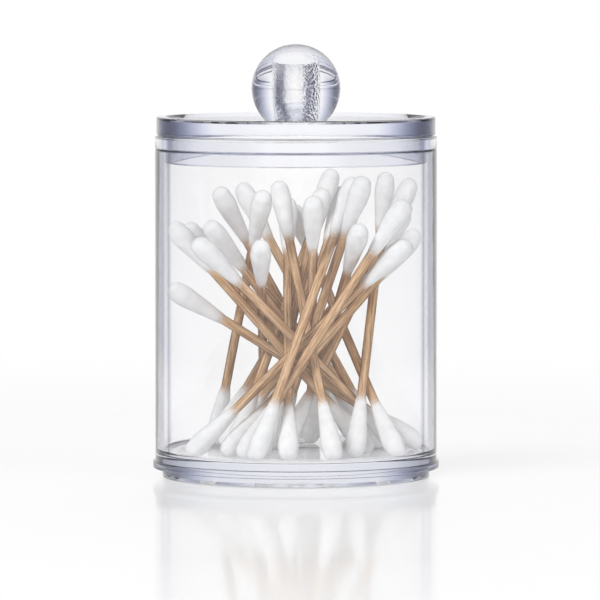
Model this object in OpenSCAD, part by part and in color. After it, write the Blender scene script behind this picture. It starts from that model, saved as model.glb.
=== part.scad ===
// Clear plastic bathroom jar with a ball-knob lid, holding a bundle of cotton swabs.
// Z is up, and the origin is the centre of the foot's underside. Lengths are in millimetres.

/* [Jar] */
// Outer diameter of the jar's wall
jar_d = 70; // [68:1:84]
// Height from the foot to the jar's mouth, where the lid rests
jar_h = 81.5; // [80:0.5:100]
// Thickness of the wall
wall_t = 1.9; // [1.4:0.1:2.3]
// Thickness of the solid base, from the foot to the inner floor
base_t = 5.8; // [5.2:0.1:7]
// Height of the foot ring
foot_h = 2.3; // [1.6:0.1:2.6]
// How far the foot ring stands in from the wall
foot_inset = 1.75; // [1:0.05:2.5]
// Width of the foot ring's flat
foot_w = 3.2; // [2:0.1:5]
// Depth of the recess inside the foot ring
recess_h = 0.8; // [0.4:0.1:1.4]
// Height of the flange over the foot ring
flange_h = 1.9; // [1.2:0.1:2.4]
// How far the flange stands out past the wall
flange_out = 0.6; // [0.3:0.05:1.2]
// Radius of the corner between the inner floor and the wall
floor_round = 1.5; // [0.8:0.1:1.8]

/* [Lid] */
// Depth of the plug ring in the jar's mouth
plug_h = 3.5; // [2:0.1:4.2]
// Clearance between the plug ring and the wall, each side
lid_gap = 0.25; // [0.15:0.05:0.5]
// Thickness of the shoulder ring, which the plug ring hangs from
ring_t = 4; // [3.4:0.1:6]
// Height of the shoulder ring over the jar's mouth
shoulder_h = 3.3; // [2.4:0.1:6]
// Radius of the corner between the lid's ceiling and its rings
ceiling_round = 0.9; // [0.4:0.1:1.8]
// Height of the groove between the shoulder ring and the disc
groove_h = 0.25; // [0.15:0.05:0.6]
// Depth of that groove
groove_deep = 0.7; // [0.4:0.1:1.5]
// Height of the disc's edge, up to the top of its rim
disc_h = 4.45; // [3:0.05:7]
// How far the disc stands in from the wall
disc_inset = 0.35; // [0.1:0.05:1]
// Width of the raised rim
rim_w = 1.9; // [1:0.1:4]
// Height of the rim over the dished top
rim_h = 0.9; // [0.4:0.1:1.5]

/* [Knob] */
// Diameter of the ball
knob_d = 22; // [20:0.5:30]
// Diameter of the flat that the ball stands on
seat_d = 15.3; // [12:0.1:17]
// Diameter of the bore up the ball's middle
bore_d = 8.2; // [7.6:0.1:10]
// Depth of the bore, from the flat up
bore_h = 12.9; // [8:0.1:14]
// Height of the stud on the lid, inside the bore
stud_h = 5.3; // [3:0.1:7]
// Diameter of the stud at its root
stud_root_d = 3.9; // [2.5:0.1:5]
// Diameter of the stud's flared head
stud_head_d = 6.7; // [4:0.1:7]
// Height of the parting line on the ball
seam_h = 0.12; // [0.08:0.02:0.3]
// Width of the parting line
seam_w = 0.36; // [0.2:0.02:0.8]

/* [Swabs] */
// Length of a swab over its tips
swab_l = 75; // [66:1:76]
// Diameter of the wooden stick
stick_d = 2.3; // [1.8:0.1:2.5]
// Diameter of the cotton tip at its widest
tip_d = 5.2; // [4.2:0.1:5.4]
// Length of the cotton tip
tip_l = 15.5; // [12:0.5:18]
// Radius of the tip's round end
end_r = 2.3; // [1.8:0.1:2.4]
// Distance from the end to the widest place
bulge_l = 4.8; // [3.5:0.1:6]
// Thickness of the cotton where it thins out on the stick
tail_t = 0.2; // [0.1:0.05:0.4]
// Depth of cotton past the end of the stick
stick_in = 3; // [1.5:0.1:4]
// Spacing that the swabs push each other to as the bundle settles
swab_gap = 0.6; // [0.55:0.05:0.7]

/* [Hidden] */
$fn = 96;
jar_r = jar_d/2;
inner_r = jar_r - wall_t;
foot_r = jar_r - foot_inset;
flange_r = jar_r + flange_out;
flange_top = foot_h + flange_h;
edge_r = wall_t/5;
corner_steps = 6;
cut = wall_t/2;

hollow_r = jar_r - ring_t;
plug_r = inner_r - lid_gap;
plug_z = jar_h - plug_h;
shoulder_z = jar_h + shoulder_h;
disc_z = shoulder_z + groove_h;
disc_r = jar_r - disc_inset;
groove_r = jar_r - groove_deep;
rim_z = disc_z + disc_h;
dish_z = rim_z - rim_h;

knob_r = knob_d/2;
seat_drop = sqrt(knob_r^2 - (seat_d/2)^2);
knob_z = dish_z + seat_drop;

// Points of a rounded corner about [x, y], from one angle to another
function corner(x, y, r, from, to) =
  [for (i = [0:corner_steps]) let (a = from + (to - from)*i/corner_steps) [x + r*cos(a), y + r*sin(a)]];

// The bundle. Each swab is [foot x, foot y, head x, head y], the centres of its two round ends, given
// in shares of the inner radius as they are dropped in. The bundle then settles: over a number of turns
// the swabs that are too close push each other aside, the wall holds them in, and a hold that fades
// away draws each one back to its place.
place_shares = [
  [0.43, 0.63, -0.56, -0.03],
  [0.63, 0.04, -0.42, 0.62],
  [-0.52, 0.70, -0.19, -0.52],
  [-0.30, 0.72, -0.30, -0.80],
  [0.62, 0.30, -0.63, -0.35],
  [0.46, 0.76, -0.84, 0.05],
  [0.63, 0.55, -0.72, -0.12],
  [0.84, 0.05, -0.66, -0.62],
  [0.78, -0.22, -0.90, -0.10],
  [0.90, 0.12, -0.90, 0.12],
  [0.66, -0.50, -0.02, 0.55],
  [0.15, -0.78, 0.13, 0.22],
  [-0.04, -0.85, 0.07, 0.50],
  [0.35, 0.70, 0.21, -0.86],
  [0.17, 0.74, 0.42, -0.80],
  [-0.39, -0.25, 0.36, 0.45],
  [-0.06, 0.12, 0.58, -0.50],
  [-0.27, -0.80, 0.47, -0.08],
  [0.42, -0.52, 0.73, 0.48],
  [-0.12, -0.32, 0.88, 0.18],
  [-0.63, -0.62, 0.90, 0.05],
  [-0.20, -0.55, 0.29, 0.62],
  [-0.38, 0.62, 0.37, -0.48],
  [-0.58, -0.68, 0.69, -0.22],
  [-0.76, -0.42, 0.78, -0.44],
  [-0.66, 0.10, 0.80, 0.12],
  [-0.74, 0.30, 0.54, 0.62]
];
turns = 140;
// Share of each overlap that a turn takes away
ease = 1.2;
// Share of the way back that the hold draws, and the share of the turns in which it has faded away
hold_share = 0.05;
free_share = 1/3;
// Share of a tip's length over which its girth thins towards the stick
thin_share = 0.45;
tip_r = tip_d/2;
stick_r = stick_d/2;
reach_r = inner_r - tip_r - swab_gap;
grip_l = swab_l - 2*end_r;
claim2 = (tip_d + swab_gap)^2;
still = [0, 0, 0, 0];

function foot(s) = [s[0], s[1]];
function head(s) = [s[2], s[3]];
function lie(s) = head(s) - foot(s);
function rise(s) = sqrt(grip_l^2 - lie(s)*lie(s));
// Foot, slope and height of a swab
function pose(s) = let (h = rise(s)) [foot(s), lie(s)/h, h];
// Radius that a swab claims at a distance from its nearer end
function girth(e) = stick_r + (tip_r - stick_r)*min(max((tip_l - e)/(tip_l*thin_share), 0), 1);
// Square of the distance between two swabs at one height, square to their mean slope m
function apart2(d, m) = d*d - (d*m)^2/(1 + m*m);
// Push on the first of two swabs at height z, shared between its foot and its head
function nudge(d, m, z, ha, hb) =
  let (
    need = girth(min(z, ha - z) + end_r) + girth(min(z, hb - z) + end_r) + swab_gap,
    far2 = apart2(d, m)
  )
  far2 >= need^2 ? still :
  let (push = d/norm(d)*(need - sqrt(max(far2, 0)))/2, s = z/ha)
  [push[0]*(1 - s), push[1]*(1 - s), push[0]*s, push[1]*s];
// Push on the first swab where the two are closest and at both ends
function shove(a, b) =
  let (
    d = a[0] - b[0],
    v = a[1] - b[1],
    m = (a[1] + b[1])/2,
    low = min(a[2], b[2]),
    z = min(max(-(d*v)/(v*v), 0), low)
  )
  apart2(d + v*z, m) >= claim2 ? still :
  nudge(d + v*z, m, z, a[2], b[2]) + nudge(d + v*end_r, m, end_r, a[2], b[2])
    + nudge(d + v*(low - end_r), m, low - end_r, a[2], b[2]);
function within(p) = p*min(1, reach_r/norm(p));
function held(s) = concat(within(foot(s)), within(head(s)));
function settle(set, n) = n == 0 ? set :
  let (
    poses = [for (s = set) pose(s)],
    hold = hold_share*max(0, (n/turns - free_share)/(1 - free_share))
  )
  settle([for (i = [0:len(set) - 1])
    held(set[i] + hold*(dropped[i] - set[i])
      + ease*(each_one*[for (j = [0:len(set) - 1]) i == j ? still : shove(poses[i], poses[j])]))], n - 1);
each_one = [for (s = place_shares) 1];
dropped = [for (s = place_shares) held(s*inner_r)];
swabs = settle(dropped, turns);

swab_names = [for (i = [1:len(place_shares)]) str("swab_", i < 10 ? "0" : "", i)];
stick_names = [for (n = swab_names) str(n, "_stick")];
tips_names = [for (n = swab_names) str(n, "_tips")];

// One turned piece: solid base with a recessed foot ring and a flange, plain wall, round mouth
module jar() {
  color([0.88, 0.91, 0.97, 0.35])
    rotate_extrude()
      polygon(concat(
        [[0, recess_h], [foot_r - foot_w - recess_h, recess_h]],
        [[foot_r - foot_w, 0]],
        corner(foot_r - edge_r, edge_r, edge_r, -90, 0),
        [[foot_r, foot_h]],
        corner(flange_r - edge_r, foot_h + edge_r, edge_r, -90, 0),
        corner(flange_r - edge_r, flange_top - edge_r, edge_r, 0, 90),
        [[jar_r, flange_top]],
        corner(jar_r - edge_r, jar_h - edge_r, edge_r, 0, 90),
        corner(inner_r + edge_r, jar_h - edge_r, edge_r, 90, 180),
        corner(inner_r - floor_round, base_t + floor_round, floor_round, 0, -90),
        [[0, base_t]]
      ));
}

// The stud that stands in the knob's bore. Its head is flared, and its foot runs into the disc.
module stud() {
  translate([0, 0, dish_z]) cylinder(d1 = stud_root_d, d2 = stud_head_d, h = stud_h);
  translate([0, 0, dish_z - cut]) cylinder(d = stud_root_d, h = cut);
}

// One moulded piece: dished disc with a raised rim, groove, hollow shoulder ring and plug ring
module lid() {
  color([0.86, 0.89, 0.96, 0.35]) {
    rotate_extrude()
      polygon(concat(
        [[0, shoulder_z]],
        corner(hollow_r - ceiling_round, shoulder_z - ceiling_round, ceiling_round, 90, 0),
        corner(hollow_r + edge_r, plug_z + edge_r, edge_r, 180, 270),
        corner(plug_r - edge_r, plug_z + edge_r, edge_r, -90, 0),
        [[plug_r, jar_h]],
        [[jar_r - edge_r, jar_h]],
        corner(jar_r - edge_r, shoulder_z - edge_r, edge_r, 0, 90),
        [[groove_r, shoulder_z], [groove_r, disc_z]],
        corner(disc_r - edge_r, disc_z + edge_r, edge_r, -90, 0),
        corner(disc_r - edge_r, rim_z - edge_r, edge_r, 0, 90),
        [[disc_r - rim_w, rim_z]],
        [[disc_r - rim_w - rim_h, dish_z], [0, dish_z]]
      ));
    stud();
  }
}

// A clear ball with a flat to stand on, a blind bore and the parting line round its middle
module knob() {
  color([0.84, 0.87, 0.95, 0.45])
    translate([0, 0, knob_z])
      difference() {
        union() {
          sphere(r = knob_r);
          rotate_extrude()
            translate([knob_r - seam_w, -seam_w/2]) square([seam_w + seam_h, seam_w]);
        }
        translate([0, 0, -knob_r - cut - seat_drop])
          cylinder(r = knob_r, h = knob_r + cut);
        translate([0, 0, -seat_drop - cut]) cylinder(d = bore_d, h = bore_h + cut);
      }
}

// Lays a swab that is drawn upright, from its lower round end's centre, along its own lean
module leaning(s) {
  run = lie(s);
  translate([s[0], s[1], base_t + end_r])
    rotate([0, acos(rise(s)/grip_l), atan2(run[1], run[0])])
      children();
}

// A wooden stick, which ends inside the cotton at both ends
module stick(s) {
  color([0.80, 0.64, 0.50])
    leaning(s)
      translate([0, 0, stick_in - end_r])
        cylinder(r = stick_r, h = swab_l - 2*stick_in, $fn = 48);
}

// One cotton tip with its end at zero: a round end, a belly and a long taper down to the stick
module tip() {
  rotate_extrude($fn = 48)
    polygon(concat(
      corner(0, end_r, end_r, -90, 0),
      [[tip_r, bulge_l], [stick_r + tail_t, tip_l]],
      [[stick_r, tip_l], [stick_r, stick_in], [0, stick_in]]
    ));
}

module tips(s) {
  color([0.96, 0.96, 0.95])
    leaning(s) {
      translate([0, 0, -end_r]) tip();
      translate([0, 0, grip_l + end_r]) mirror([0, 0, 1]) tip();
    }
}

jar();
lid();
knob();
for (i = [0:len(swabs) - 1]) {
  stick(swabs[i]);
  tips(swabs[i]);
}
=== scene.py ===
# %% [markdown]
# # A clear jar of cotton swabs
# This lesson dresses a clear plastic bathroom jar. The jar, its plug-in lid and the ball knob are turned
# shapes in clear plastic, and inside lies a leaning bundle of cotton swabs on wooden sticks.
# We start from the measured model of the object, and keep every piece where that model has it.

# %% Load the measured model
import math
import random

import bpy
from mathutils import Matrix, Vector


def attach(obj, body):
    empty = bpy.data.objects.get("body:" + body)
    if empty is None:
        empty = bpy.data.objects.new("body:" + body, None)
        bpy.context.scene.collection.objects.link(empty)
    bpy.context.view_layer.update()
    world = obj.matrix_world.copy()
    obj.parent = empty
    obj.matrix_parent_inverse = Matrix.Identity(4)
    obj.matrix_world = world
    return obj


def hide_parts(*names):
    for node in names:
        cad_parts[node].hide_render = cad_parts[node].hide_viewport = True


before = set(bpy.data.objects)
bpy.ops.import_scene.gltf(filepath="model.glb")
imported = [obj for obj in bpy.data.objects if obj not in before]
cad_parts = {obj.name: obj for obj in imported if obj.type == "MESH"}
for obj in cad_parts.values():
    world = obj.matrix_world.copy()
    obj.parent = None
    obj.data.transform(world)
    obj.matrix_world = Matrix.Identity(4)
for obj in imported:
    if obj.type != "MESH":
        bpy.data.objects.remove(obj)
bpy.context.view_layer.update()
MM = 0.001

# %% [markdown]
# ## Turned shapes
# A jar like this is moulded in a turned steel tool, so its whole form is one outline swept round an axis.
# It could be built from cylinders and booleans, but one outline spun round keeps every wall and rim in a
# single clean mesh, which clear plastic needs: each extra inner face would show.
# The outline is drawn by extruding one vertex from point to point, and Spin sweeps it round.
# All its sizes are in millimetres, and R is a radius, Z a height, H a height of its own and W a width.

# %% Helpers: clear the selection, pick one object, work in edit mode
def nothing_selected():
    if bpy.context.object and bpy.context.object.mode != "OBJECT":
        bpy.ops.object.mode_set(mode="OBJECT")
    bpy.ops.object.select_all(action="DESELECT")


def only(obj):
    nothing_selected()
    obj.select_set(True)
    bpy.context.view_layer.objects.active = obj


def edit(obj, mode="VERT"):
    only(obj)
    bpy.ops.object.mode_set(mode="EDIT")
    bpy.ops.mesh.select_mode(type=mode)
    bpy.ops.mesh.select_all(action="SELECT")


# %% Helper: a round corner in an outline
def corner(x, z, r, start, end, steps=8):
    """Points of an arc about (x, z), from one angle to another, in degrees."""
    angles = [math.radians(start + (end - start) * i / steps) for i in range(steps + 1)]
    return [(x + r * math.cos(a), z + r * math.sin(a)) for a in angles]


# %% Helper: spin an outline into a closed solid
ROUND_STEPS = 192
MERGE = 0.002
SMOOTH_BELOW = math.radians(24)


def turned(name, outline, steps=ROUND_STEPS):
    """A solid turned about Z from an outline of (radius, height) points in millimetres."""
    nothing_selected()
    bpy.ops.mesh.primitive_plane_add(size=MM)
    obj = bpy.context.object
    obj.name = obj.data.name = name
    edit(obj)
    bpy.ops.mesh.merge(type="CENTER")
    first = outline[0]
    bpy.ops.transform.translate(value=(first[0] * MM, 0, first[1] * MM))
    for (x0, z0), (x1, z1) in zip(outline, outline[1:]):
        bpy.ops.mesh.extrude_vertices_move(
            TRANSFORM_OT_translate={"value": ((x1 - x0) * MM, 0, (z1 - z0) * MM)}
        )
    bpy.ops.mesh.select_all(action="SELECT")
    bpy.ops.mesh.spin(steps=steps, angle=2 * math.pi, center=(0, 0, 0), axis=(0, 0, 1))
    bpy.ops.mesh.select_all(action="SELECT")
    bpy.ops.mesh.remove_doubles(threshold=MERGE * MM)
    bpy.ops.mesh.normals_make_consistent(inside=False)
    only(obj)
    bpy.ops.object.shade_smooth_by_angle(angle=SMOOTH_BELOW)
    print(name, len(obj.data.vertices), "points", len(obj.data.polygons), "faces")
    return obj


# %% [markdown]
# ## The jar
# A thick solid base with a foot ring and a flange, then a plain thin wall up to a rounded mouth.
# The thick base is what looks dark and bright in bands, while the wall is nearly invisible.
# The base is a little hollow within its foot ring, so that the jar stands on the ring alone.
# The outline has one more point on the wall at the floor's height, so that the wall above it and the
# base below it can take plastics of their own.

# %% Jar
WALL_R = 35.0
INNER_R = 33.1
MOUTH_Z = 81.5
FLOOR_Z = 5.8
FLOOR_CORNER = 1.5
SOFT = 0.38
FLANGE_R = 35.6
FLANGE_TOP = 4.2
FOOT_R = 33.25
FOOT_INNER_R = 30.05
FOOT_H = 2.3
RECESS_R = 29.25
RECESS_H = 0.8

jar = turned("jar_body", [(0, RECESS_H), (RECESS_R, RECESS_H), (FOOT_INNER_R, 0)]
    + corner(FOOT_R - SOFT, SOFT, SOFT, -90, 0)
    + [(FOOT_R, FOOT_H)]
    + corner(FLANGE_R - SOFT, FOOT_H + SOFT, SOFT, -90, 0)
    + corner(FLANGE_R - SOFT, FLANGE_TOP - SOFT, SOFT, 0, 90)
    + [(WALL_R, FLANGE_TOP), (WALL_R, FLOOR_Z)]
    + corner(WALL_R - SOFT, MOUTH_Z - SOFT, SOFT, 0, 90)
    + corner(INNER_R + SOFT, MOUTH_Z - SOFT, SOFT, 90, 180)
    + corner(INNER_R - FLOOR_CORNER, FLOOR_Z + FLOOR_CORNER, FLOOR_CORNER, 0, -90)
    + [(0, FLOOR_Z)])

# %% [markdown]
# ## The lid
# A thick dished disc with a raised rim stands on a hollow shoulder ring, and a plug ring drops into the
# jar's mouth. A flared stud in the middle of the dish reaches up into the knob.
# Two faces of clear plastic in the very same place come out black, so the lid rests a hair above the
# jar's mouth, and the knob a hair above the dish.

# %% Lid
PLUG_R = 32.85
HOLLOW_R = 31.0
HOLLOW_CORNER = 0.9
PLUG_Z = 78.0
SHOULDER_Z = 84.8
DISC_Z = 85.05
DISC_R = 34.65
GROOVE_R = 34.3
RIM_Z = 89.5
RIM_W = 1.9
RIM_SLOPE = 0.9
DISH_Z = 88.6
STUD_H = 5.3
STUD_WAIST_R = 1.95
STUD_R = 3.35
STUD_LIP = 0.1
STUD_SOFT = 0.25
HAIR = 0.01
LEDGE_Z = MOUTH_Z + HAIR

lid = turned("lid_body", [(0, SHOULDER_Z)]
    + corner(HOLLOW_R - HOLLOW_CORNER, SHOULDER_Z - HOLLOW_CORNER, HOLLOW_CORNER, 90, 0)
    + corner(HOLLOW_R + SOFT, PLUG_Z + SOFT, SOFT, 180, 270)
    + corner(PLUG_R - SOFT, PLUG_Z + SOFT, SOFT, -90, 0)
    + [(PLUG_R, LEDGE_Z)]
    + corner(WALL_R - SOFT, LEDGE_Z + SOFT, SOFT, -90, 0)
    + corner(WALL_R - SOFT, SHOULDER_Z - SOFT, SOFT, 0, 90)
    + [(GROOVE_R, SHOULDER_Z), (GROOVE_R, DISC_Z)]
    + corner(DISC_R - SOFT, DISC_Z + SOFT, SOFT, -90, 0)
    + corner(DISC_R - SOFT, RIM_Z - SOFT, SOFT, 0, 90)
    + [(DISC_R - RIM_W, RIM_Z), (DISC_R - RIM_W - RIM_SLOPE, DISH_Z)]
    + [(STUD_WAIST_R, DISH_Z), (STUD_R - STUD_LIP, DISH_Z + STUD_H - STUD_SOFT)]
    + corner(STUD_R - STUD_SOFT, DISH_Z + STUD_H - STUD_SOFT, STUD_SOFT, 0, 90, 4)
    + [(0, DISH_Z + STUD_H)])

# %% [markdown]
# ## The ball knob
# A solid clear ball with a flat to stand on and a blind bore up its middle. The bore is what makes the
# ball look complicated: its wall mirrors the light, and the ball bends the picture of it.
# A thin parting line runs round the middle, where the two halves of the mould met.

# %% Knob
BALL_R = 11.0
SEAT_R = 7.65
BALL_Z = DISH_Z + math.sqrt(BALL_R ** 2 - SEAT_R ** 2)
SEAT_Z = DISH_Z + HAIR
BORE_R = 4.1
BORE_TOP = DISH_Z + 12.9
BORE_SOFT = 0.4
BORE_LIP = 0.15
SEAM_H = 0.12
SEAM_HALF = 0.18
SEAM_FLAT = SEAM_HALF * 0.6

seam_angle = math.degrees(math.asin(SEAM_HALF / BALL_R))
seat_angle = -math.degrees(math.asin((BALL_Z - SEAT_Z) / BALL_R))
knob = turned("knob_ball",
    [(BORE_R, BORE_TOP - BORE_SOFT), (BORE_R, SEAT_Z + BORE_LIP), (BORE_R + BORE_LIP, SEAT_Z)]
    + corner(0, BALL_Z, BALL_R, seat_angle, -seam_angle, 20)
    + [(BALL_R + SEAM_H, BALL_Z - SEAM_FLAT), (BALL_R + SEAM_H, BALL_Z + SEAM_FLAT)]
    + corner(0, BALL_Z, BALL_R, seam_angle, 90, 36)
    + [(0, BORE_TOP)]
    + corner(BORE_R - BORE_SOFT, BORE_TOP - BORE_SOFT, BORE_SOFT, 90, 0, 5))

# %% [markdown]
# ## One swab
# A swab is a round wooden stick with cotton wound on both ends into a teardrop. All of them are alike, so
# the stick and the tip are modelled once, upright, and copied. Each copy keeps a note of where its points
# lay on the upright model, as an attribute, so that grain and fibre run along it however it leans.

# %% Stick, modelled upright, one face extruded ring by ring
SWAB_L = 75.0
STICK_R = 1.15
STICK_IN = 3.0
STICK_SIDES = 20
STICK_RINGS = 30


def upright_stick():
    """The cotton's round ends are at z = 0 and SWAB_L, and the stick ends STICK_IN inside each."""
    nothing_selected()
    bpy.ops.mesh.primitive_circle_add(vertices=STICK_SIDES, radius=STICK_R * MM, fill_type="NGON",
                                      location=(0, 0, STICK_IN * MM))
    obj = bpy.context.object
    obj.name = "stick_pattern"
    edit(obj, "FACE")
    step = (SWAB_L - 2 * STICK_IN) / STICK_RINGS * MM
    for _ in range(STICK_RINGS):
        bpy.ops.mesh.extrude_region_move(TRANSFORM_OT_translate={"value": (0, 0, step)})
    bpy.ops.mesh.select_all(action="SELECT")
    bpy.ops.mesh.normals_make_consistent(inside=False)
    only(obj)
    bpy.ops.object.transform_apply(location=True, rotation=True, scale=True)
    bpy.ops.object.shade_smooth_by_angle(angle=math.radians(40))
    return obj


stick_pattern = upright_stick()
print("stick", len(stick_pattern.data.polygons), "faces")

# %% Cotton tip, modelled upright with its round end at z = 0
TIP_L = 15.5
END_R = 2.3
TIP_R = 2.6
BULGE_Z = 4.8
THIN_END = 0.12
END_LIP = 0.04
END_STEP = 0.25
TIP_RINGS = 14
TIP_SIDES = 36


def tip_outline():
    """The teardrop: a round end, a belly, and a long soft taper down to the stick."""
    points = corner(0, END_R, END_R, -90, -8, 9)
    for i in range(TIP_RINGS + 1):
        z = END_R + (TIP_L - END_R) * (i / TIP_RINGS)
        if z <= BULGE_Z:
            share = (z - END_R) / (BULGE_Z - END_R)
            r = END_R + (TIP_R - END_R) * math.sin(share * math.pi / 2)
        else:
            share = (z - BULGE_Z) / (TIP_L - BULGE_Z)
            r = TIP_R + (STICK_R + THIN_END - TIP_R) * (0.82 * share + 0.18 * share ** 2)
        points.append((r, z))
    return points + [(STICK_R + END_LIP, TIP_L + END_STEP), (STICK_R, TIP_L + END_STEP),
                     (STICK_R, STICK_IN), (0, STICK_IN)]


tip_pattern = turned("tip_pattern", tip_outline(), TIP_SIDES)

# %% Where the cotton may be uneven: outside, and less and less over the last 5 mm
EVEN_END = 5.0
uneven = tip_pattern.vertex_groups.new(name="uneven")
for v in tip_pattern.data.vertices:
    radius, z = math.hypot(v.co.x, v.co.y) / MM, v.co.z / MM
    inside = radius < STICK_R + 0.05 and z > STICK_IN - 0.1
    uneven.add([v.index], 0.0 if inside else min(1.0, max(0.0, (TIP_L - z) / EVEN_END)), "REPLACE")
print("uneven on", len(tip_pattern.data.vertices), "points at most")

# %% [markdown]
# ## The bundle
# The measured model has each swab's stick where it lies. Its two ends tell where the upright swab has to
# go, so we read them from the mesh and lay a copy of the stick and two tips there. Wound cotton is never
# quite smooth, so a soft cloud texture pushes each tip's surface in and out by a tenth of a millimetre,
# differently on each one.

# %% Helper: the two ends of a stick
AXIS_ROUNDS = 6


def stick_ends(name):
    """The lower and the upper end of a stick's axis, from its mesh."""
    points = [v.co.copy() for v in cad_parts[name].data.vertices]
    middle = sum(points, Vector()) / len(points)
    far = max(points, key=lambda p: (p - middle).length)
    axis = (far - middle).normalized()
    for _ in range(AXIS_ROUNDS):
        along = [(p - middle).dot(axis) for p in points]
        axis = sum(((p - middle) * a for p, a in zip(points, along)), Vector()).normalized()
    half = max(abs((p - middle).dot(axis)) for p in points)
    ends = [middle - axis * half, middle + axis * half]
    return sorted(ends, key=lambda e: e.z)


# %% Helper: a placed copy that remembers its upright place
SALT_STEP = (7.0, 3.0, 11.0)


def placed(pattern, name, place, salt):
    """A moved copy of an upright pattern. "rest" keeps its upright points, in millimetres and moved on by the
    salt, so that no two copies have the same grain. "along" is the distance from the nearer end."""
    mesh = pattern.data.copy()
    obj = bpy.data.objects.new(name, mesh)
    bpy.context.scene.collection.objects.link(obj)
    mesh.attributes.new("rest", "FLOAT_VECTOR", "POINT")
    mesh.attributes.new("along", "FLOAT", "POINT")
    rest, along = mesh.attributes["rest"].data, mesh.attributes["along"].data
    for i, v in enumerate(mesh.vertices):
        rest[i].vector = v.co / MM + Vector([salt * step for step in SALT_STEP])
        along[i].value = min(v.co.z, SWAB_L * MM - v.co.z) / MM
    mesh.transform(place)
    mesh.update()
    return obj


# %% Helper: the uneven surface of wound cotton
CLOUD_SIZE = 2.2
PUSH = 0.2
PUSH_MIDDLE = 0.6

clouds = bpy.data.textures.new("wound_clouds", "CLOUDS")
clouds.noise_scale = CLOUD_SIZE * MM
clouds.noise_depth = 2


def wound(obj):
    only(obj)
    push = obj.modifiers.new("wound", "DISPLACE")
    push.texture = clouds
    push.texture_coords = "LOCAL"
    push.vertex_group = "uneven"
    push.strength = PUSH * MM
    push.mid_level = PUSH_MIDDLE
    bpy.ops.object.modifier_apply(modifier=push.name)
    return obj


# %% Lay the swabs
FOOT_SALT = 40
HEAD_SALT = 80
SWABS = sorted(n.removesuffix("_stick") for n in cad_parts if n.endswith("_stick"))
dice = random.Random(4)
swab_pieces = []
for i, swab in enumerate(SWABS):
    low, high = stick_ends(swab + "_stick")
    lean = (high - low).normalized()
    turn = lean.to_track_quat("Z", "Y").to_matrix().to_4x4()
    spin = Matrix.Rotation(dice.uniform(0, math.tau), 4, "Z")
    start = Matrix.Translation(low - lean * STICK_IN * MM)
    stand = start @ turn @ spin
    flip = stand @ Matrix.Translation((0, 0, SWAB_L * MM)) @ Matrix.Rotation(math.pi, 4, "X")
    stick = placed(stick_pattern, swab + "_wood", stand, i)
    foot = wound(placed(tip_pattern, swab + "_cotton_low", stand, i + FOOT_SALT))
    head = wound(placed(tip_pattern, swab + "_cotton_high", flip, i + HEAD_SALT))
    swab_pieces.append((swab, stick, foot, head))
for pattern in (stick_pattern, tip_pattern):
    bpy.data.objects.remove(pattern)
last_lean = math.degrees(lean.angle(Vector((0, 0, 1))))
print(len(swab_pieces), "swabs laid, the last leans", round(last_lean), "degrees")

# %% [markdown]
# ## Nodes by hand
# A material is a net of nodes, and most of the work is to make a node and feed its inputs. So one helper
# makes a node and feeds it in one line: each input gets a plain value, or the output of another node.

# %% Helpers: a node and its inputs
def feed(tree, socket, given):
    """Links an output to the socket, or sets the socket to a plain value."""
    if isinstance(given, bpy.types.NodeSocket):
        tree.links.new(given, socket)
    else:
        socket.default_value = given


def node(tree, kind, inputs=None, **settings):
    """A new node with its own settings, and with what its inputs get."""
    made = tree.nodes.new("ShaderNode" + kind)
    for key, value in settings.items():
        setattr(made, key, value)
    for socket, given in (inputs or {}).items():
        feed(tree, made.inputs[socket], given)
    return made


# %% Helpers: the output of a sum, a colour mix and a colour ramp
def calc(tree, operation, *given, clamp=False):
    inputs = dict(enumerate(given))
    return node(tree, "Math", inputs, operation=operation, use_clamp=clamp).outputs[0]


def mix(tree, factor, a, b, blend="MIX"):
    inputs = {"Factor": factor, "A": a, "B": b}
    return node(tree, "Mix", inputs, data_type="RGBA", blend_type=blend).outputs["Result"]


def ramp(tree, value, stops):
    made = node(tree, "ValToRGB", {"Fac": value})
    while len(made.color_ramp.elements) < len(stops):
        made.color_ramp.elements.new(1.0)
    for element, (place, color) in zip(made.color_ramp.elements, stops):
        element.position = place
        element.color = (*color, 1)
    return made.outputs["Color"]


# %% Helpers: an empty group and an empty material
def new_group(name, inputs, outputs):
    """A node group, what comes in, and the node that its results go to."""
    group = bpy.data.node_groups.new(name, "ShaderNodeTree")
    for label, kind in inputs.items():
        group.interface.new_socket(name=label, in_out="INPUT", socket_type="NodeSocket" + kind)
    for label, kind in outputs.items():
        group.interface.new_socket(name=label, in_out="OUTPUT", socket_type="NodeSocket" + kind)
    return group, group.nodes.new("NodeGroupInput").outputs, group.nodes.new("NodeGroupOutput").inputs


def new_material(name):
    made = bpy.data.materials.new(name)
    made.use_nodes = True
    tree = made.node_tree
    tree.nodes.clear()
    return made, tree, tree.nodes.new("ShaderNodeOutputMaterial").inputs["Surface"]
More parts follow.
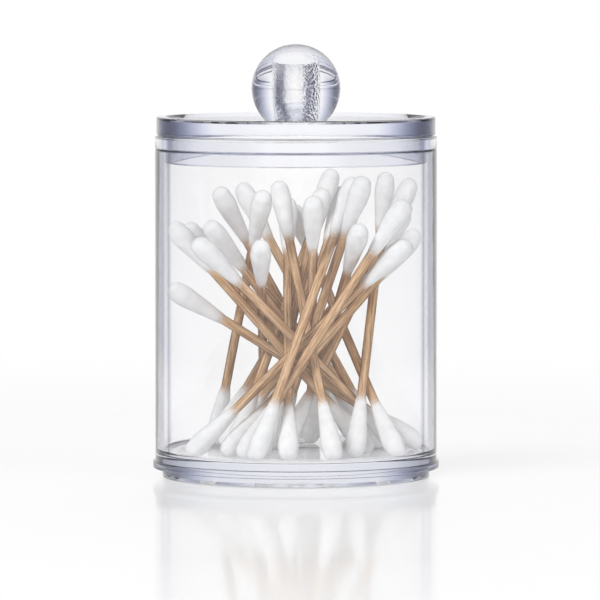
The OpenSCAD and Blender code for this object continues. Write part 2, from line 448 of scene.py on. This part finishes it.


# %% [markdown]
# ## Clear plastic
# Clear plastic shows itself by its edges: where a surface turns away from the eye it takes on the slate
# blue of its surroundings, and in the middle it is all but white. Real refraction does the bending, and
# the dark screens that stand at both sides of the studio, further down, are what the bent rays find.
# Layer Weight paints a reflection of the dark surroundings where a surface turns away. Lamps are let straight
# through, so that the swabs inside are lit.
# The faint waves of a moulded surface and fine scuffs come from one node group that all clear pieces use.

# %% The moulded surface: slow waves of about a centimetre, fine scuffs
moulded, given, result = new_group("moulded_surface",
    {"Coordinates": "Vector", "Wave": "Float", "Scuff": "Float", "Speckle": "Float"},
    {"Height": "Float", "Haze": "Float", "Spots": "Color"})
waves = node(moulded, "TexNoise", {"Vector": given["Coordinates"], "Scale": 90.0, "Detail": 1.0})
scuffs = node(moulded, "TexNoise",
    {"Vector": given["Coordinates"], "Scale": 1400.0, "Detail": 3.0, "Distortion": 1.5})
height = calc(moulded, "ADD",
    calc(moulded, "MULTIPLY", waves.outputs["Fac"], given["Wave"]),
    calc(moulded, "MULTIPLY", scuffs.outputs["Fac"], given["Scuff"]))
haze = node(moulded, "MapRange",
    {"Value": scuffs.outputs["Fac"], "From Min": 0.45, "From Max": 0.75, "To Max": 0.05})
feed(moulded, result["Haze"], haze.outputs[0])

# %% Glue bubbles on one side, for the knob's bore: Speckle says how strong
# CLEAR is no tint: a ramp leaves what it colours as it is there.
CLEAR = (1.0, 1.0, 1.0)
BUBBLES_FROM = 1.0
BUBBLES_FULL = 1.9
bubbles = node(moulded, "TexVoronoi", {"Vector": given["Coordinates"], "Scale": 1700.0})
split = node(moulded, "SeparateXYZ", {0: given["Coordinates"]})
side = node(moulded, "MapRange",
    {"Value": split.outputs["X"], "From Min": BUBBLES_FROM * MM, "From Max": BUBBLES_FULL * MM})
only_side = calc(moulded, "MULTIPLY", side.outputs[0], given["Speckle"])
bubble_height = calc(moulded, "MULTIPLY", bubbles.outputs["Distance"], only_side)
bubble_tone = ramp(moulded, bubbles.outputs["Distance"], [
    (0.15, CLEAR), (0.3, (0.5, 0.51, 0.58)), (0.4, (0.03, 0.03, 0.05)), (0.55, (0.8, 0.8, 0.88))])
feed(moulded, result["Height"], calc(moulded, "ADD", height, bubble_height))
feed(moulded, result["Spots"], mix(moulded, only_side, (1, 1, 1, 1), bubble_tone))
print("moulded_surface has", len(moulded.nodes), "nodes")

# %% Clear plastic with a painted reflection as its edge tone
PLASTIC_IOR = 1.49
SHADE_THROUGH = (0.985, 0.987, 0.99, 1)


def clear_plastic(name, stops, wave=0.6, scuff=0.02, bump=0.02, speckle=0.0):
    """stops are the tones from facing the eye (0) to turned away (1); where they darken, they are a painted
    reflection of the dark surroundings.
    """
    made, tree, surface = new_material(name)
    place = node(tree, "TexCoord")
    skin = node(tree, "Group", {"Coordinates": place.outputs["Object"], "Wave": wave, "Scuff": scuff,
                                "Speckle": speckle}, node_tree=moulded).outputs
    bumped = node(tree, "Bump", {"Height": skin["Height"], "Strength": bump, "Distance": MM})
    # painted reflection: the tones darken what turns away from the eye, as the dark surroundings would
    painted_reflection_weight = node(tree, "LayerWeight", {"Blend": 0.5})
    tone = ramp(tree, painted_reflection_weight.outputs["Facing"], stops)
    shader = node(tree, "BsdfPrincipled", {
        "Base Color": mix(tree, 1.0, tone, skin["Spots"], "MULTIPLY"), "Roughness": skin["Haze"],
        "Normal": bumped.outputs["Normal"], "IOR": PLASTIC_IOR, "Transmission Weight": 1.0})
    rays = node(tree, "LightPath").outputs
    lit_through = calc(tree, "MAXIMUM", rays["Is Shadow Ray"], rays["Is Diffuse Ray"])
    through = node(tree, "BsdfTransparent", {"Color": SHADE_THROUGH})
    both = node(tree, "MixShader", {"Fac": lit_through, 1: shader.outputs[0], 2: through.outputs[0]})
    feed(tree, surface, both.outputs[0])
    return made


# %% The thin walls: a pair of fine dark lines near each edge, a painted reflection, all else white
wall_clear = clear_plastic("clear_wall", [
    (0.0, CLEAR), (0.54, (0.97, 0.97, 1.0)), (0.575, (0.5, 0.5, 0.58)), (0.6, (0.93, 0.93, 0.98)),
    (0.635, (0.95, 0.95, 0.99)), (0.67, (0.5, 0.5, 0.56)), (0.72, (0.68, 0.68, 0.74)),
    (0.85, (0.97, 0.97, 1.0))])
inner_clear = clear_plastic("clear_inner_wall", [
    (0.0, CLEAR), (0.64, CLEAR), (0.71, (0.5, 0.5, 0.58)), (0.76, (0.7, 0.7, 0.78)), (0.82, CLEAR),
    (0.97, (0.4, 0.4, 0.48))])
floor_clear = clear_plastic("clear_floor", [(0.0, CLEAR), (0.9, CLEAR), (1.0, (0.75, 0.77, 0.86))])
print("plastics for the walls:", wall_clear.name, inner_clear.name, floor_clear.name)

# %% The thick parts: the slate blue of a painted reflection gathers in them
thick_clear = clear_plastic("clear_thick", [
    (0.0, (0.93, 0.94, 0.985)), (0.25, (0.84, 0.85, 0.94)), (0.4, (0.5, 0.52, 0.64)),
    (0.55, (0.27, 0.28, 0.36)), (0.8, (0.16, 0.165, 0.22))])
base_clear = clear_plastic("clear_base", [
    (0.0, (0.82, 0.83, 0.89)), (0.25, (0.66, 0.68, 0.79)), (0.4, (0.36, 0.38, 0.48)),
    (0.55, (0.2, 0.21, 0.28)), (0.8, (0.12, 0.125, 0.17))])
foot_clear = clear_plastic("clear_foot", [
    (0.0, (0.76, 0.77, 0.83)), (0.45, (0.62, 0.64, 0.7)), (0.8, (0.35, 0.36, 0.43))])
plug_clear = clear_plastic("clear_plug", [
    (0.0, (0.94, 0.945, 0.985)), (0.4, (0.88, 0.89, 0.97)), (0.7, (0.5, 0.51, 0.62))])
joint_clear = clear_plastic("clear_joint", [
    (0.0, (0.45, 0.47, 0.6)), (0.4, (0.3, 0.32, 0.43)), (0.8, (0.12, 0.125, 0.18))])
print("plastics for the thick parts:", thick_clear.name, base_clear.name, foot_clear.name, plug_clear.name,
      joint_clear.name)

# %% The knob: a painted dark reflection round the ball's edge, painted reflection bands and bubbles in its bore
ball_clear = clear_plastic("clear_ball", [
    (0.0, CLEAR), (0.3, (0.9, 0.905, 0.95)), (0.55, (0.7, 0.71, 0.79)), (0.72, (0.4, 0.41, 0.5)),
    (0.88, (0.08, 0.085, 0.12))])
bore_clear = clear_plastic("clear_bore", [
    (0.0, CLEAR), (0.22, (0.85, 0.86, 0.92)), (0.34, (0.16, 0.165, 0.22)), (0.42, (0.01, 0.01, 0.016)),
    (0.49, (0.4, 0.41, 0.5)), (0.56, (0.03, 0.032, 0.05)), (0.64, (0.5, 0.51, 0.6)),
    (0.9, (0.1, 0.105, 0.15))],
    wave=2.0, scuff=0.4, bump=0.45, speckle=1.0)
print("plastics for the knob:", ball_clear.name, bore_clear.name)

# %% [markdown]
# ## Which plastic goes where
# Each face takes its plastic by its place on the turned shape. The faces that look straight up, such as
# the jar's floor and the lid's dish, are pale, because they show nearly no edge from any side.

# %% Helper: put the plastics on by place
NEAR = 0.05


def dress(obj, plastics, choose):
    """Gives each face the plastic that choose(radius, height, normal) says, in millimetres."""
    for plastic in plastics:
        obj.data.materials.append(plastic)
    for face in obj.data.polygons:
        c = face.center / MM
        face.material_index = plastics.index(choose(math.hypot(c.x, c.y), c.z, face.normal))
    print(obj.name, "wears", [plastic.name for plastic in plastics])


# %% Dress the jar
OUTER_RIM_R = 34.0


def jar_plastic(r, z, normal):
    if z > MOUTH_Z - SOFT and r > OUTER_RIM_R:
        return joint_clear
    if z < FOOT_H and r < FOOT_R + NEAR:
        return foot_clear
    if z < FLOOR_Z and r > INNER_R + 2 * NEAR:
        return base_clear
    if r < INNER_R - NEAR and z < FLOOR_Z + FLOOR_CORNER - NEAR:
        return floor_clear
    return inner_clear if r < INNER_R + 2 * NEAR else wall_clear


dress(jar, [wall_clear, inner_clear, base_clear, floor_clear, joint_clear, foot_clear], jar_plastic)

# %% Dress the lid
FACES_UP = 0.3


def lid_plastic(r, z, normal):
    if MOUTH_Z < z < LEDGE_Z + SOFT and r > OUTER_RIM_R:
        return joint_clear
    if z > DISH_Z - HAIR and r > STUD_R + 3 * NEAR and normal.z > FACES_UP:
        return floor_clear
    if z > DISC_Z - HAIR:
        return thick_clear
    if r < HOLLOW_R - HOLLOW_CORNER + NEAR and z > SHOULDER_Z - HOLLOW_CORNER - NEAR:
        return floor_clear
    return plug_clear if z < MOUTH_Z - 2 * NEAR else wall_clear


dress(lid, [wall_clear, plug_clear, thick_clear, floor_clear, joint_clear], lid_plastic)

# %% Dress the knob
def knob_plastic(r, z, normal):
    if z < DISH_Z + 2 * NEAR:
        return floor_clear
    return bore_clear if r < BORE_R + NEAR and z < BORE_TOP + NEAR else ball_clear


dress(knob, [ball_clear, bore_clear, floor_clear], knob_plastic)

# %% [markdown]
# ## Where cotton thins out on the wood
# The cotton doesn't stop at a line: its last wisps lie on the stick in a ragged edge. Wood and cotton
# both need to know how much cotton there is, so one node group tells it from the distance to the swab's
# end: 1 under full cotton, 0 where only wood shows. A noise moves the edge to and fro.

# %% Cotton share
COTTON_FULL = 13.6
COTTON_GONE = 17.2
RAGGED = 5.0

thinning, given, result = new_group("cotton_thinning",
    {"Coordinates": "Vector", "Along": "Float"}, {"Share": "Float"})
ragged = node(thinning, "TexNoise",
    {"Vector": given["Coordinates"], "Scale": 3.0, "Detail": 4.0, "Roughness": 0.7})
moved = calc(thinning, "ADD",
    calc(thinning, "MULTIPLY_ADD", ragged.outputs["Fac"], RAGGED, -RAGGED / 2), given["Along"])
share = node(thinning, "MapRange",
    {"Value": moved, "From Min": COTTON_FULL, "From Max": COTTON_GONE, "To Min": 1.0, "To Max": 0.0},
    interpolation_type="SMOOTHSTEP")
feed(thinning, result["Share"], share.outputs[0])
print("cotton_thinning has", len(thinning.nodes), "nodes")


def cotton_share(tree, rest):
    """The share of cotton, from the group, for a material whose upright place is rest."""
    along = node(tree, "Attribute", attribute_name="along").outputs["Fac"]
    return node(tree, "Group", {"Coordinates": rest, "Along": along}, node_tree=thinning).outputs["Share"]


# %% [markdown]
# ## Bare wood
# The sticks are split birch or poplar: a pale tan with darker streaks that run along the stick, and a dry
# surface with fine grooves. The grain follows the attribute that each copy carries. The sticks are thin
# and round, and a painted shade makes them browner where they turn away.

# %% Wood
WISP = (0.86, 0.84, 0.82, 1)
GROOVE_SHARE = 0.5


def wood():
    made, tree, surface = new_material("bare_wood")
    rest = node(tree, "Attribute", attribute_name="rest").outputs["Vector"]
    grain = node(tree, "Mapping", {"Vector": rest, "Scale": (1.0, 1.0, 0.05)}).outputs[0]
    streaks = node(tree, "TexNoise",
        {"Vector": grain, "Scale": 2.6, "Detail": 5.0, "Roughness": 0.62, "Distortion": 0.4})
    fine = node(tree, "TexNoise", {"Vector": grain, "Scale": 9.0, "Detail": 3.0}).outputs["Fac"]
    tone = ramp(tree, streaks.outputs["Fac"], [
        (0.28, (0.26, 0.125, 0.05)), (0.44, (0.58, 0.35, 0.185)), (0.66, (0.9, 0.66, 0.42))])
    lines = ramp(tree, fine, [(0.35, (0.45, 0.38, 0.32)), (0.55, CLEAR)])
    grooved = mix(tree, GROOVE_SHARE, tone, lines, "MULTIPLY")
    # painted shade: the stick turns browner where it turns away from the eye
    rim = node(tree, "LayerWeight", {"Blend": 0.5}).outputs["Facing"]
    painted_edge_shade = ramp(tree, rim, [(0.3, CLEAR), (0.62, (0.62, 0.5, 0.42)), (0.95, (0.26, 0.17, 0.12))])
    wood_with_painted_shade = mix(tree, 1.0, grooved, painted_edge_shade, "MULTIPLY")
    bumped = node(tree, "Bump", {"Height": fine, "Strength": 0.5, "Distance": 0.05 * MM})
    shader = node(tree, "BsdfPrincipled", {
        "Base Color": mix(tree, cotton_share(tree, rest), wood_with_painted_shade, WISP),
        "Normal": bumped.outputs["Normal"], "Roughness": 0.62})
    feed(tree, surface, shader.outputs[0])
    return made


bare_wood = wood()
print(bare_wood.name, "has", len(bare_wood.node_tree.nodes), "nodes")

# %% [markdown]
# ## Wound cotton
# Cotton is white, dull and soft, and fine fibres catch the light at its edge. The fibres are wound round
# the stick, so the relief runs round the tip and not along it. Its white stays below full white, so that
# the lamps don't wash its shape out, and a painted shade greys it a little where it turns away.

# %% Cotton
THIN_COTTON = (0.56, 0.35, 0.19, 1)


def cotton():
    made, tree, surface = new_material("wound_cotton")
    rest = node(tree, "Attribute", attribute_name="rest").outputs["Vector"]
    squeezed = node(tree, "Mapping", {"Vector": rest, "Scale": (0.5, 0.5, 2.2)}).outputs[0]
    fibres = node(tree, "TexNoise",
        {"Vector": squeezed, "Scale": 2.4, "Detail": 6.0, "Roughness": 0.7, "Distortion": 1.2})
    lumps = node(tree, "TexNoise", {"Vector": rest, "Scale": 0.5, "Detail": 2.0})
    tone = ramp(tree, lumps.outputs["Fac"], [(0.3, (0.83, 0.83, 0.835)), (0.7, (0.91, 0.91, 0.91))])
    thin = mix(tree, cotton_share(tree, rest), THIN_COTTON, tone)
    # painted shade: the cotton greys where it turns away from the eye
    rim = node(tree, "LayerWeight", {"Blend": 0.5}).outputs["Facing"]
    painted_edge_shade = ramp(tree, rim, [(0.45, CLEAR), (0.8, (0.82, 0.82, 0.84)), (1.0, (0.6, 0.6, 0.64))])
    bumped = node(tree, "Bump", {"Height": fibres.outputs["Fac"], "Strength": 0.22, "Distance": 0.1 * MM})
    shader = node(tree, "BsdfPrincipled", {
        "Base Color": mix(tree, 1.0, thin, painted_edge_shade, "MULTIPLY"), "Normal": bumped.outputs["Normal"],
        "Roughness": 0.95, "Sheen Weight": 0.25, "Sheen Roughness": 0.5, "Specular IOR Level": 0.15})
    feed(tree, surface, shader.outputs[0])
    return made


wound_cotton = cotton()
print(wound_cotton.name, "has", len(wound_cotton.node_tree.nodes), "nodes")

# %% Put every piece on its body
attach(jar, "jar")
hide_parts("jar")
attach(lid, "lid")
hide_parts("lid")
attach(knob, "lid")
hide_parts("knob")
for swab, stick, foot, head in swab_pieces:
    stick.data.materials.clear()
    stick.data.materials.append(bare_wood)
    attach(stick, "jar")
    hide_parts(swab + "_stick")
    for tip in (foot, head):
        tip.data.materials.clear()
        tip.data.materials.append(wound_cotton)
        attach(tip, "jar")
    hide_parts(swab + "_tips")
print("all pieces ride on their bodies")

# %% [markdown]
# ## Floor, light and camera
# The jar stands on a pale glossy floor that carries a faint picture of it, in front of plain white.
# To the camera the floor is mostly its own white, with a share of shade and a share of reflection, and
# far off it is white alone, so that floor and background meet without a line.
# A dark screen stands far off at each side. The eye never sees the screens themselves, only the clear
# plastic does, when it bends or mirrors a ray sideways: that draws its edges.

# %% Dark screens at both sides: how dark a direction is, by how far it points sideways
sides, given, result = new_group("studio_sides", {"Direction": "Vector"}, {"Color": "Color"})
unit = node(sides, "VectorMath", {0: given["Direction"]}, operation="NORMALIZE")
parts = node(sides, "SeparateXYZ", {0: unit.outputs[0]})
screen = ramp(sides, calc(sides, "ABSOLUTE", parts.outputs["X"]), [
    (0.0, CLEAR), (0.42, CLEAR), (0.52, (0.72, 0.74, 0.84)), (0.65, (0.38, 0.40, 0.5)),
    (0.75, (0.2, 0.21, 0.27)), (0.93, (0.11, 0.11, 0.15))])
feed(sides, result["Color"], screen)
print("studio_sides has", len(sides.nodes), "nodes")

# %% Helper: the rays that end in the picture, straight, bent or mirrored
def seen_by(tree, rays):
    bent_or_straight = calc(tree, "MAXIMUM", rays["Is Camera Ray"], rays["Is Transmission Ray"])
    return calc(tree, "MAXIMUM", bent_or_straight, rays["Is Glossy Ray"])


# %% Floor
FLOOR_SIZE = 30.0
FLOOR_DROP = 0.02
PALE = (0.97, 0.97, 0.97, 1)
WHITE = (1, 1, 1, 1)
SHINE = 0.5
OWN_WHITE = {"From Min": 0.2, "From Max": 0.42, "To Min": 0.4, "To Max": 1.0}
SCREENS_FROM = {"From Min": 0.3, "From Max": 0.6}
WHITER_THROUGH = 0.5


def pale_floor():
    """OWN_WHITE is the share of plain white, SCREENS_FROM that of the screens, by the distance in metres."""
    made, tree, surface = new_material("pale_floor")
    rays = node(tree, "LightPath").outputs
    seen = seen_by(tree, rays)
    place = node(tree, "TexCoord").outputs["Object"]
    away = node(tree, "VectorMath", {0: place}, operation="LENGTH").outputs["Value"]
    plain = node(tree, "BsdfPrincipled", {"Base Color": PALE, "Roughness": 0.6})
    mirror = node(tree, "BsdfGlossy", {"Color": WHITE, "Roughness": 0.08})
    shine = node(tree, "MixShader", {"Fac": SHINE, 1: plain.outputs[0], 2: mirror.outputs[0]})
    screens = node(tree, "Group", {"Direction": place}, node_tree=sides).outputs["Color"]
    far = node(tree, "MapRange", {"Value": away, **SCREENS_FROM}).outputs[0]
    bent = calc(tree, "SUBTRACT", seen, rays["Is Camera Ray"], clamp=True)
    white = node(tree, "Emission",
        {"Color": mix(tree, calc(tree, "MULTIPLY", far, bent), WHITE, screens), "Strength": 1.0})
    own = node(tree, "MapRange", {"Value": away, **OWN_WHITE}).outputs[0]
    own_share = calc(tree, "MULTIPLY_ADD", rays["Is Transmission Ray"], WHITER_THROUGH, own, clamp=True)
    to_the_eye = node(tree, "MixShader", {"Fac": own_share, 1: shine.outputs[0], 2: white.outputs[0]})
    both = node(tree, "MixShader", {"Fac": seen, 1: plain.outputs[0], 2: to_the_eye.outputs[0]})
    feed(tree, surface, both.outputs[0])
    return made


nothing_selected()
bpy.ops.mesh.primitive_plane_add(size=FLOOR_SIZE, location=(0, 0, -FLOOR_DROP * MM))
floor = bpy.context.object
floor.name = "floor"
floor.data.materials.append(pale_floor())
print("floor of", FLOOR_SIZE, "m,", FLOOR_DROP, "mm below the foot ring")

# %% World: plain white to the eye with the screens in its bent rays, a soft grey as a light
SKY_LIGHT = 0.27
SKY_WHITE = 1.0

world = bpy.data.worlds.new("studio")
bpy.context.scene.world = world
world.use_nodes = True
tree = world.node_tree
tree.nodes.clear()
rays = node(tree, "LightPath").outputs
screens = node(tree, "Group", {"Direction": node(tree, "TexCoord").outputs["Generated"]}, node_tree=sides)
soft = node(tree, "Background", {"Color": WHITE, "Strength": SKY_LIGHT})
white = node(tree, "Background",
    {"Color": mix(tree, rays["Is Camera Ray"], screens.outputs["Color"], WHITE), "Strength": SKY_WHITE})
both = node(tree, "MixShader", {"Fac": seen_by(tree, rays), 1: soft.outputs[0], 2: white.outputs[0]})
feed(tree, node(tree, "OutputWorld").inputs["Surface"], both.outputs[0])
print("world has", len(tree.nodes), "nodes")

# %% Lamps: a key at the left, a fill at the right, one behind. The plastic doesn't mirror them
LIT_POINT = Vector((0, 0, 0.05))


def lamp(name, place, size, watts):
    light = bpy.data.lights.new(name, "AREA")
    light.shape = "SQUARE"
    light.size = size
    light.energy = watts
    obj = bpy.data.objects.new(name, light)
    bpy.context.scene.collection.objects.link(obj)
    obj.visible_glossy = obj.visible_transmission = False
    obj.location = place
    obj.rotation_euler = (LIT_POINT - Vector(place)).to_track_quat("-Z", "Y").to_euler()
    print(name, "lamp,", watts, "W")


lamp("key", (-0.7, -0.9, 1.1), 0.7, 16.0)
lamp("fill", (1.0, -0.7, 0.6), 0.8, 5.0)
lamp("back", (0.2, 1.1, 0.9), 0.8, 5.0)

# %% Camera, where the photographer stood: 1.6 m away, a little above the lid
EYE = Vector((0.001, -1.6, 0.1434))
AIM = Vector((0.001, 0.0, 0.0439))
lens = bpy.data.cameras.new("photographer")
lens.sensor_width = 36.0
lens.lens = 387.0
lens.clip_start = 0.05
camera = bpy.data.objects.new("photographer", lens)
bpy.context.scene.collection.objects.link(camera)
camera.location = EYE
camera.rotation_euler = (AIM - EYE).to_track_quat("-Z", "Y").to_euler()
bpy.context.scene.camera = camera
bpy.context.scene.view_settings.view_transform = "Standard"
print("camera", round((AIM - EYE).length, 2), "m away, lens", lens.lens, "mm")
